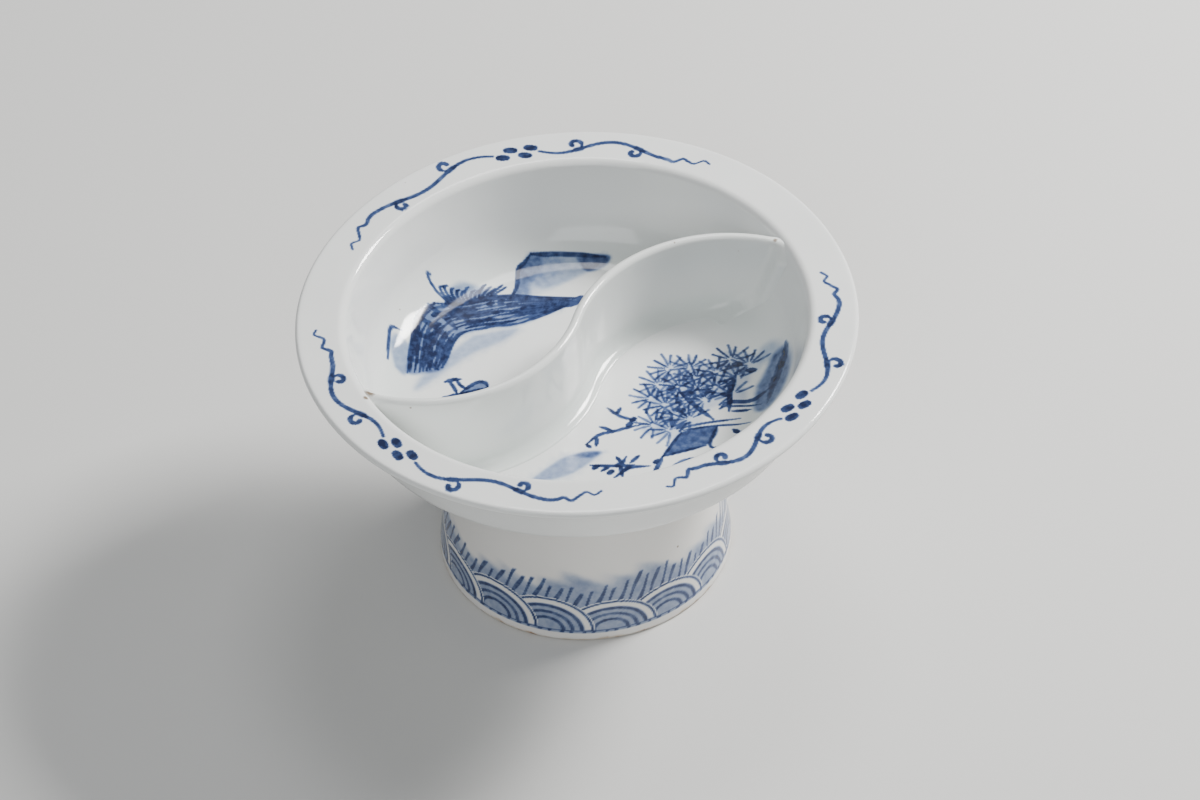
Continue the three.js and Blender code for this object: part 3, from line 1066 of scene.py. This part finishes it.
# %% [markdown]
# ## Fitting the ends
# The potter trimmed the slab to the curve of the well and smoothed slip into the corners. Here the
# sweep overruns, so its ends are drawn back to just inside the clay of the bowl, and near the side
# of the well the wall flares to either side in a small fillet that fades out at its top.

# %% Fit the wall to the well
END_FILLET = 2.6
END_DEPTH = 1.8
FINE_PATH_STEPS = 600


def fitted(points):
    """Flares the wall beside the well's side, and draws its ends back into the bowl's clay."""
    path = np.array(s_path(FINE_PATH_STEPS))
    heading = np.gradient(path, axis=0)
    sideways = np.stack([-heading[:, 1], heading[:, 0]], 1) / np.hypot(*heading.T)[:, None]
    near = np.array([np.argmin(np.hypot(*(path - p).T)) for p in points[:, :2]])
    edge = well_edge(points[:, 2])
    gap = np.clip(edge - np.hypot(points[:, 0], points[:, 1]), 0, END_FILLET)
    flare = END_FILLET - np.sqrt(END_FILLET ** 2 - (END_FILLET - gap) ** 2)
    flare *= np.clip((WALL_TOP_Z - points[:, 2]) / END_FILLET, 0, 1)
    side = np.sign(((points[:, :2] - path[near]) * sideways[near]).sum(1))
    moved = points.copy()
    moved[:, :2] += sideways[near] * (side * flare)[:, None]
    r = np.hypot(moved[:, 0], moved[:, 1])
    moved[:, :2] *= (np.minimum(r, edge + END_DEPTH) / np.maximum(r, 1e-6))[:, None]
    return moved


def merged(points, faces):
    """Joins the points that the trimming brought together, and turns all faces outwards."""
    body = bmesh.new()
    corners = [body.verts.new(p) for p in points]
    for face in faces:
        body.faces.new([corners[i] for i in face])
    bmesh.ops.remove_doubles(body, verts=body.verts, dist=0.02)
    bmesh.ops.dissolve_degenerate(body, edges=body.edges, dist=0.005)
    bmesh.ops.recalc_face_normals(body, faces=body.faces)
    body.verts.index_update()
    points = np.array([v.co for v in body.verts])
    faces = [tuple(v.index for v in f.verts) for f in body.faces]
    body.free()
    return points, faces


def make_s_wall():
    """The swept slab, fitted to the well, with glaze pooled along its foot."""
    points, faces = merged(fitted(slab_points), slab_faces)
    pooling = np.exp(-((points[:, 2] - FLOOR_Z - 1.5) / 2.5) ** 2)
    piece = piece_from("s_wall_glazed", points, faces, {"pooling": pooling})
    piece.data.materials.append(wall_glaze)
    return piece


s_wall = make_s_wall()

# %% [markdown]
# ## The wave border on the foot
# Round the foot run overlapping waves. Each is a fan of arcs under a white crest, and covers part
# of the next one. Slanted strokes of rain and a cloudy wash stand above. Everything follows the
# length round the foot and the height, so it is worked out by formula at every point.

# %% Waves
ROUND_R = 33.4
WAVES = 15
WAVE_HALF = 10.8
WAVE_RISE = 8.6
WAVE_BASE = 3.1
FAN_MM = 8.2
CREST_AT = 8.05
ARCS = ((6.2, 0.82), (4.6, 0.76), (3.0, 0.8))


def line_at(value, centre, width, soft=0.16):
    """Ink of a line with soft edges, from a value that is measured across it."""
    return soft_step(0.5 - (np.abs(value - centre) - width / 2) / soft)


def fan_ink(out):
    """Ink of one wave, from the share of the way out to its crest."""
    ink = line_at(out * FAN_MM, CREST_AT, 0.5) * 0.8
    for at, dark in ARCS:
        ink = np.maximum(ink, line_at(out * FAN_MM, at, 0.85, 0.4) * dark)
    return np.maximum(ink, 0.38 * soft_step((0.77 - out) / 0.05))


def wave_ink(u, z):
    """Ink of the waves, and which points they leave free."""
    pitch = 2 * math.pi * ROUND_R / WAVES
    ink = np.zeros(len(u))
    free = np.ones(len(u), bool)
    for back in (2, 1, 0, -1):
        wave = np.floor(u / pitch) - back
        across = u - (wave + 0.5) * pitch - 0.5 * np.sin(wave * 2.4)
        rise = WAVE_RISE * (1 + 0.07 * np.sin(wave * 1.7))
        out = np.hypot(across / WAVE_HALF, (z - WAVE_BASE) / rise)
        here = free & (out < 1.04) & (z > WAVE_BASE)
        ink[here] = fan_ink(out)[here]
        free &= ~here
    return ink, free


print("waves round the foot:", WAVES)

# %% Rain and cloud
RAIN_PITCH = 2.55
RAIN_SLANT = 0.42
RAIN_TOP = 16.8
CLOUD_TOP = 19.2


def sky_ink(turn, u, z):
    """Slanted strokes over a wash that fades upwards in clouds."""
    slanted = (u - RAIN_SLANT * (z - FLARE_Z) + 0.25 * np.sin(u * 1.3)) / RAIN_PITCH
    top = RAIN_TOP + 1.3 * np.sin(turn * 7) + 0.9 * np.sin(np.floor(slanted) * 2.1)
    rain = line_at(slanted % 1 * RAIN_PITCH, 1.27, 1.0, 0.3) * soft_step((top - z) / 0.9) * 0.78
    cloud = CLOUD_TOP + 1.6 * np.sin(turn * 3 + 1) + 1.1 * np.sin(turn * 11) + 0.8 * np.sin(turn * 23 + z)
    return np.maximum(rain, 0.4 * soft_step((cloud - z) / 5.0))


def border(turn, z):
    """Cobalt on the outside of the foot, at an angle round it and a height."""
    u = turn * ROUND_R
    ink, free = wave_ink(u, z)
    ink[free] = sky_ink(turn, u, z)[free]
    ink = np.maximum(ink, line_at(z, WAVE_BASE, 0.55, 0.25) * 0.75)
    return ink * (z > WAVE_BASE - 0.6)


print("ink at two heights of the foot:", border(np.zeros(2), np.array([7.0, 25.0])))

# %% [markdown]
# ## The foot
# The foot was thrown as a ring, joined to the bowl and trimmed. It flares to the table, and its
# edge is wiped bare, so that it doesn't stick to the kiln shelf. The rings lie close together where
# the border is painted, and the neck opens gently into the bowl, where the slip was smoothed.

# %% Build the foot
FOOT_SIDES = 720
OUTSIDE_POINTS = 170
PAINTED_TO_Z = 21
BARE_TO_Z = 0.95


def foot_outline():
    """Up the outside, through the joint, and down the inside."""
    resting = [(FOOT_R - 0.7, 0.0), (FOOT_R - 0.25, 0.15), (FOOT_R - 0.05, 0.5), (FOOT_R, 0.9)]
    joint = (NECK_R + 5.2, UNDER_Z + 1.75)
    outside = evenly([(FOOT_R, 0.9), (FOOT_R - 0.15, BARE_BAND_Z), (FLARE_R, FLARE_Z),
                      (NECK_R + 0.4, 26.8), (NECK_R, 38.4), (NECK_R + 0.6, 41.4),
                      (NECK_R + 2.3, 43.6), joint], OUTSIDE_POINTS)
    painted_part = [tuple(p) for p in outside[outside[:, 1] < PAINTED_TO_Z]]
    plain_part = [tuple(p) for p in outside[outside[:, 1] >= PAINTED_TO_Z][::3]]
    bore, hollow = NECK_R - FOOT_WALL, FOOT_R - FOOT_WALL
    inner = [(bore, UNDER_Z - 0.3), (bore, 34.0), (bore + 0.6, 22.0), (hollow - 0.6, 9.0),
             (hollow, 1.2), (hollow + 0.4, 0.2), (hollow + 0.8, 0.0)]
    return resting + painted_part[1:] + plain_part + [joint] + inner


def make_foot():
    outline = foot_outline()
    points = np.vstack([ring(r, z, FOOT_SIDES) for r, z in outline])
    last = len(points) - FOOT_SIDES
    faces = []
    for low in range(0, last, FOOT_SIDES):
        faces += band(low, low + FOOT_SIDES, FOOT_SIDES)
    faces += band(last, 0, FOOT_SIDES)
    turn = np.arctan2(points[:, 1], points[:, 0])
    r, z = np.hypot(points[:, 0], points[:, 1]), points[:, 2]
    cobalt = np.where(r > NECK_R - 0.3, border(turn, z), 0)
    wiped = BARE_TO_Z + 0.25 * np.sin(turn * 9) + 0.2 * np.sin(turn * 23 + 1) + 0.15 * np.sin(turn * 51)
    numbers = {"cobalt": cobalt, "bare": soft_step((wiped - z) / 0.5), "pooling": np.zeros(len(points))}
    return piece_from("foot_glazed", points, faces, numbers)


foot = make_foot()
foot.data.materials.append(foot_glaze)

# %% [markdown]
# ## Joining the finish to the frame
# Each glazed piece rides on the dish's one body and stands for the solids under it. The beds of slip
# are fired into the pieces beside them, so those pieces stand for them too.

# %% Ride and replace
for piece, solids, slot_name in ((bowl, ["bowl"], "bowl_glaze"),
                                 (s_wall, ["s_wall", "wall_slip"], "wall_glaze"),
                                 (foot, ["foot_ring", "foot_slip"], "foot_glaze")):
    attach(piece, "root")
    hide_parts(*solids)
